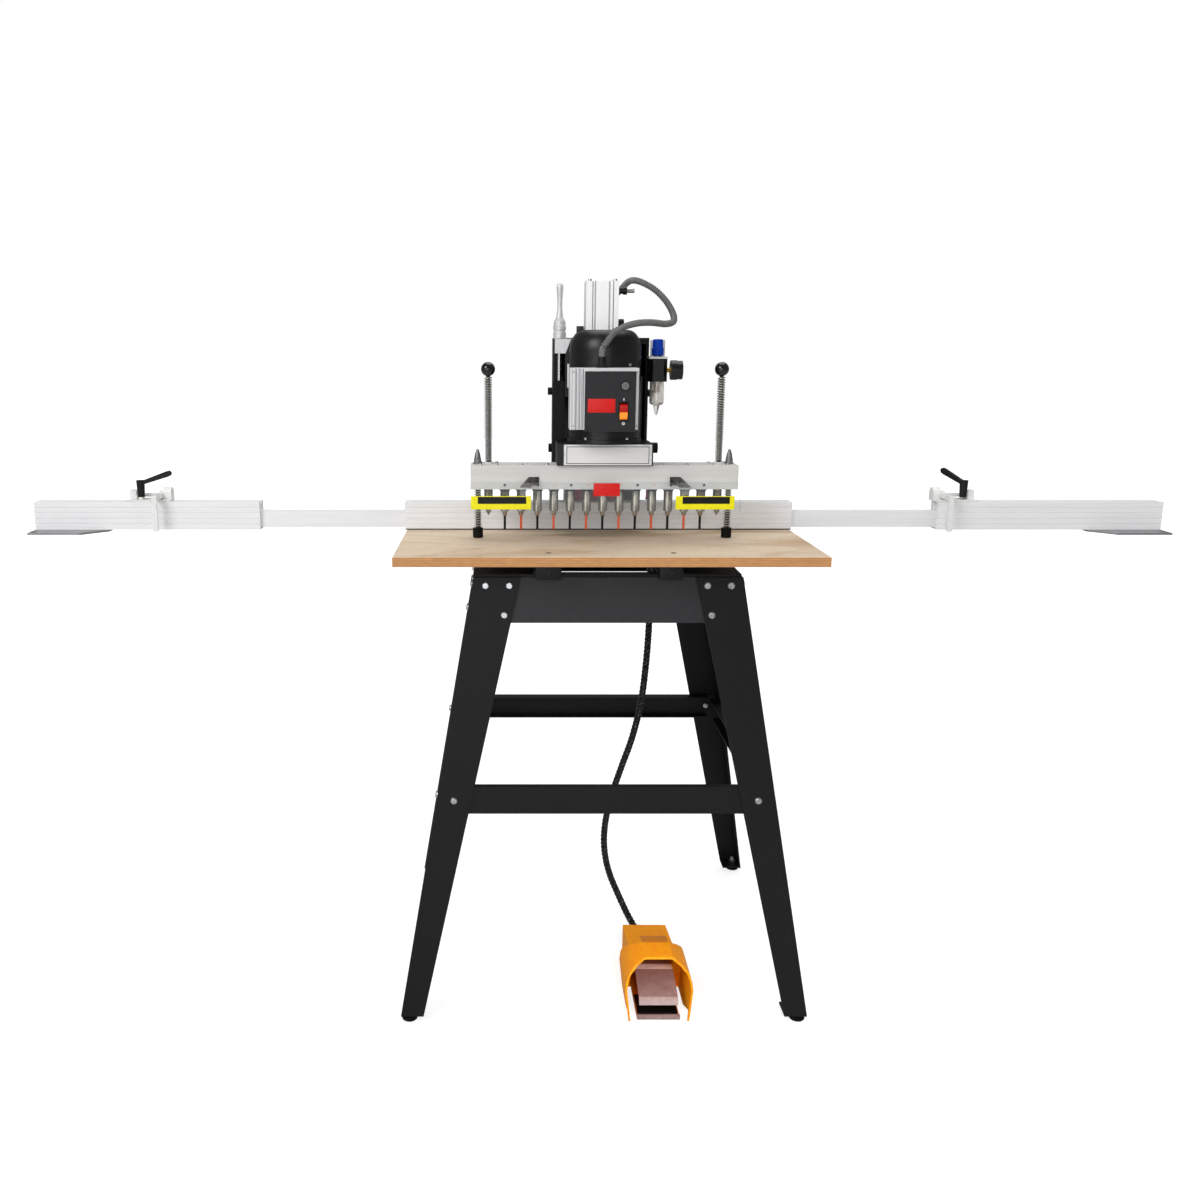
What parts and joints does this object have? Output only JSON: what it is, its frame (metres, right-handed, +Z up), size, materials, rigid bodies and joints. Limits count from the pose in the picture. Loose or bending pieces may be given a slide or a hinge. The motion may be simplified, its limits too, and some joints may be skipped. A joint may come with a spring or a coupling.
{
  "type": "line boring machine",
  "caption": "Multi-spindle line boring machine: geared spindle beam under a vertical motor on a pneumatic slide, plywood table, telescopic fence with flip stops, steel stand and foot pedal.",
  "frame": {"origin": "floor level, in the middle of the stand's four feet", "axes": "+X along the fence to the operator's right, -Y towards the operator, +Z up along the spindles"},
  "size_m": [2.316, 0.692, 1.4138],
  "materials": {
    "black_steel": "powder coat",
    "zinc_bolts": "zinc plated",
    "black_rubber": "matt",
    "plywood": "sanded",
    "fence_aluminium": "anodised",
    "stop_white": "satin",
    "lever_black": "moulded",
    "crimson_casting": "enamel",
    "ground_steel": "ground",
    "beam_grey": "milled",
    "motor_black": "satin enamel",
    "cover_black": "textured",
    "box_aluminium": "extruded",
    "rocker_red": "gloss",
    "button_grey": "gloss",
    "clear_guard": "clear",
    "clear_bowl": "clear",
    "blue_knob": "moulded",
    "regulator_black": "moulded",
    "spindle_steel": "turned",
    "spring_steel": "drawn wire",
    "conduit_grey": "corrugated",
    "hose_black": "smooth",
    "pedal_orange": "moulded",
    "pedal_steel": "pressed",
    "handle_aluminium": "turned"
  },
  "bodies": {
    "stand": {"legs": "black_steel", "stand_rails": "black_steel", "levelling_feet": "black_rubber", "stand_bolts": "zinc_bolts", "base_frame": "black_steel", "column": "crimson_casting", "head_housing": "motor_black", "guide_rods": "ground_steel", "filter_regulator": "regulator_black", "filter_bowl": "clear_bowl", "air_cylinder": "box_aluminium", "pedal_hose": "hose_black", "pedal_base": "pedal_steel", "pedal_hood": "pedal_orange"},
    "head": {"carriage": "motor_black", "motor_base": "motor_black", "motor_body": "motor_black", "motor_cowl": "motor_black", "gear_housing": "beam_grey", "switch_box": "box_aluminium", "switch_cover": "cover_black", "guard": "clear_guard", "guard_brackets": "black_steel", "index_springs": "spring_steel", "hold_down_springs": "spring_steel", "conduit": "conduit_grey"},
    "rotor": {"motor_rotor": "spindle_steel"},
    "index_left": {"index_pin_left": "spindle_steel"},
    "index_right": {"index_pin_right": "spindle_steel"},
    "hold_left": {"hold_down_left": "ground_steel"},
    "hold_right": {"hold_down_right": "ground_steel"},
    "depth_handle": {"stop_handle": "handle_aluminium"},
    "depth_rod": {"stop_rod": "ground_steel"},
    "rocker": {"rocker_switch": "rocker_red"},
    "button": {"push_button": "button_grey"},
    "pressure_knob": {"regulator_knob": "blue_knob"},
    "table": {"table_top": "plywood", "fence": "fence_aluminium"},
    "fence_left": {"outer_fence_left": "fence_aluminium"},
    "fence_right": {"outer_fence_right": "fence_aluminium"},
    "flip_stop_left": {"stop_base_left": "stop_white"},
    "flip_stop_right": {"stop_base_right": "stop_white"},
    "clamp_lever_left": {"stop_lever_left": "lever_black"},
    "clamp_lever_right": {"stop_lever_right": "lever_black"},
    "flag_left": {"stop_arm_left": "stop_white"},
    "flag_right": {"stop_arm_right": "stop_white"},
    "treadle": {"pedal_treadle": "pedal_steel"},
    "spindle_01_body": {"spindle_01": "spindle_steel"},
    "spindle_02_body": {"spindle_02": "spindle_steel"},
    "spindle_03_body": {"spindle_03": "spindle_steel"},
    "spindle_04_body": {"spindle_04": "spindle_steel"},
    "spindle_05_body": {"spindle_05": "spindle_steel"},
    "spindle_06_body": {"spindle_06": "spindle_steel"},
    "spindle_07_body": {"spindle_07": "spindle_steel"},
    "spindle_08_body": {"spindle_08": "spindle_steel"},
    "spindle_09_body": {"spindle_09": "spindle_steel"},
    "spindle_10_body": {"spindle_10": "spindle_steel"},
    "spindle_11_body": {"spindle_11": "spindle_steel"},
    "spindle_12_body": {"spindle_12": "spindle_steel"},
    "spindle_13_body": {"spindle_13": "spindle_steel"}
  },
  "joints": [
    {"name": "head_slide", "type": "slide", "parent": "stand", "child": "head", "axis": [0, 0, 1], "range_m": [0, 0.06], "deforming": ["conduit"]},
    {"name": "motor_spin", "type": "hinge", "parent": "head", "child": "rotor", "pos_m": [0, -0.099, 1.15], "axis": [0, 0, 1], "continuous": true},
    {"name": "spindle_01_spin", "type": "hinge", "parent": "head", "child": "spindle_01_body", "pos_m": [-0.192, -0.099, 0.99], "axis": [0, 0, 1], "continuous": true},
    {"name": "spindle_02_spin", "type": "hinge", "parent": "head", "child": "spindle_02_body", "pos_m": [-0.16, -0.099, 0.99], "axis": [0, 0, 1], "continuous": true},
    {"name": "spindle_03_spin", "type": "hinge", "parent": "head", "child": "spindle_03_body", "pos_m": [-0.128, -0.099, 0.99], "axis": [0, 0, 1], "continuous": true},
    {"name": "spindle_04_spin", "type": "hinge", "parent": "head", "child": "spindle_04_body", "pos_m": [-0.096, -0.099, 0.99], "axis": [0, 0, 1], "continuous": true},
    {"name": "spindle_05_spin", "type": "hinge", "parent": "head", "child": "spindle_05_body", "pos_m": [-0.064, -0.099, 0.99], "axis": [0, 0, 1], "continuous": true},
    {"name": "spindle_06_spin", "type": "hinge", "parent": "head", "child": "spindle_06_body", "pos_m": [-0.032, -0.099, 0.99], "axis": [0, 0, 1], "continuous": true},
    {"name": "spindle_07_spin", "type": "hinge", "parent": "head", "child": "spindle_07_body", "pos_m": [0, -0.099, 0.99], "axis": [0, 0, 1], "continuous": true},
    {"name": "spindle_08_spin", "type": "hinge", "parent": "head", "child": "spindle_08_body", "pos_m": [0.032, -0.099, 0.99], "axis": [0, 0, 1], "continuous": true},
    {"name": "spindle_09_spin", "type": "hinge", "parent": "head", "child": "spindle_09_body", "pos_m": [0.064, -0.099, 0.99], "axis": [0, 0, 1], "continuous": true},
    {"name": "spindle_10_spin", "type": "hinge", "parent": "head", "child": "spindle_10_body", "pos_m": [0.096, -0.099, 0.99], "axis": [0, 0, 1], "continuous": true},
    {"name": "spindle_11_spin", "type": "hinge", "parent": "head", "child": "spindle_11_body", "pos_m": [0.128, -0.099, 0.99], "axis": [0, 0, 1], "continuous": true},
    {"name": "spindle_12_spin", "type": "hinge", "parent": "head", "child": "spindle_12_body", "pos_m": [0.16, -0.099, 0.99], "axis": [0, 0, 1], "continuous": true},
    {"name": "spindle_13_spin", "type": "hinge", "parent": "head", "child": "spindle_13_body", "pos_m": [0.192, -0.099, 0.99], "axis": [0, 0, 1], "continuous": true},
    {"name": "index_left_slide", "type": "slide", "parent": "head", "child": "index_left", "axis": [0, 0, 1], "range_m": [-0.04, 0], "stiffness_N_per_m": 300, "springref_m": 0.03, "deforming": ["index_springs"]},
    {"name": "index_right_slide", "type": "slide", "parent": "head", "child": "index_right", "axis": [0, 0, 1], "range_m": [-0.04, 0], "stiffness_N_per_m": 300, "springref_m": 0.03, "deforming": ["index_springs"]},
    {"name": "hold_left_slide", "type": "slide", "parent": "head", "child": "hold_left", "axis": [0, 0, 1], "range_m": [0, 0.025], "stiffness_N_per_m": 400, "springref_m": -0.03, "deforming": ["hold_down_springs"]},
    {"name": "hold_right_slide", "type": "slide", "parent": "head", "child": "hold_right", "axis": [0, 0, 1], "range_m": [0, 0.025], "stiffness_N_per_m": 400, "springref_m": -0.03, "deforming": ["hold_down_springs"]},
    {"name": "stop_rod_slide", "type": "slide", "parent": "head", "child": "depth_rod", "axis": [0, 0, 1], "range_m": [0, 0.01]},
    {"name": "stop_handle_turn", "type": "hinge", "parent": "head", "child": "depth_handle", "pos_m": [-0.0845, -0.027, 1.34], "axis": [0, 0, 1], "range_deg": [0, 1800]},
    {"name": "rocker_tilt", "type": "hinge", "parent": "head", "child": "rocker", "pos_m": [0.026, -0.2045, 1.163], "axis": [1, 0, 0], "range_deg": [-16, 0]},
    {"name": "button_press", "type": "slide", "parent": "head", "child": "button", "axis": [0, 1, 0], "range_m": [0, 0.003], "stiffness_N_per_m": 200, "springref_m": -0.01},
    {"name": "pressure_knob_turn", "type": "hinge", "parent": "stand", "child": "pressure_knob", "pos_m": [0.107, -0.045, 1.278], "axis": [0, 0, 1], "range_deg": [-180, 180]},
    {"name": "table_setback", "type": "slide", "parent": "stand", "child": "table", "axis": [0, 1, 0], "range_m": [-0.05, 0.012]},
    {"name": "fence_left_slide", "type": "slide", "parent": "table", "child": "fence_left", "axis": [1, 0, 0], "range_m": [0, 0.28]},
    {"name": "fence_right_slide", "type": "slide", "parent": "table", "child": "fence_right", "axis": [-1, 0, 0], "range_m": [0, 0.28]},
    {"name": "stop_left_slide", "type": "slide", "parent": "fence_left", "child": "flip_stop_left", "axis": [1, 0, 0], "range_m": [-0.19, 0.13]},
    {"name": "stop_right_slide", "type": "slide", "parent": "fence_right", "child": "flip_stop_right", "axis": [1, 0, 0], "range_m": [0, 0.38]},
    {"name": "lever_left_turn", "type": "hinge", "parent": "flip_stop_left", "child": "clamp_lever_left", "pos_m": [-0.939, 0.009, 0.99], "axis": [0, 0, 1], "range_deg": [-90, 90]},
    {"name": "lever_right_turn", "type": "hinge", "parent": "flip_stop_right", "child": "clamp_lever_right", "pos_m": [0.749, 0.009, 0.99], "axis": [0, 0, 1], "range_deg": [-60, 60]},
    {"name": "flag_left_flip", "type": "hinge", "parent": "flip_stop_left", "child": "flag_left", "pos_m": [-0.9015, 0.029, 0.9793], "axis": [-1, 0, 0], "range_deg": [0, 40]},
    {"name": "flag_right_flip", "type": "hinge", "parent": "flip_stop_right", "child": "flag_right", "pos_m": [0.7115, 0.029, 0.9793], "axis": [-1, 0, 0], "range_deg": [0, 40]},
    {"name": "treadle_press", "type": "hinge", "parent": "stand", "child": "treadle", "pos_m": [0.107, -0.134, 0.034], "axis": [1, 0, 0], "range_deg": [0, 5], "stiffness_Nm_per_rad": 4, "springref_deg": -20.05}
  ],
  "couplings": [
    {"joint": "spindle_01_spin", "follows": "motor_spin", "ratio": 1},
    {"joint": "spindle_02_spin", "follows": "motor_spin", "ratio": -1},
    {"joint": "spindle_03_spin", "follows": "motor_spin", "ratio": 1},
    {"joint": "spindle_04_spin", "follows": "motor_spin", "ratio": -1},
    {"joint": "spindle_05_spin", "follows": "motor_spin", "ratio": 1},
    {"joint": "spindle_06_spin", "follows": "motor_spin", "ratio": -1},
    {"joint": "spindle_07_spin", "follows": "motor_spin", "ratio": 1},
    {"joint": "spindle_08_spin", "follows": "motor_spin", "ratio": -1},
    {"joint": "spindle_09_spin", "follows": "motor_spin", "ratio": 1},
    {"joint": "spindle_10_spin", "follows": "motor_spin", "ratio": -1},
    {"joint": "spindle_11_spin", "follows": "motor_spin", "ratio": 1},
    {"joint": "spindle_12_spin", "follows": "motor_spin", "ratio": -1},
    {"joint": "spindle_13_spin", "follows": "motor_spin", "ratio": 1},
    {"joint": "stop_handle_turn", "follows": "stop_rod_slide", "rad_per_m": 3141.6}
  ]
}
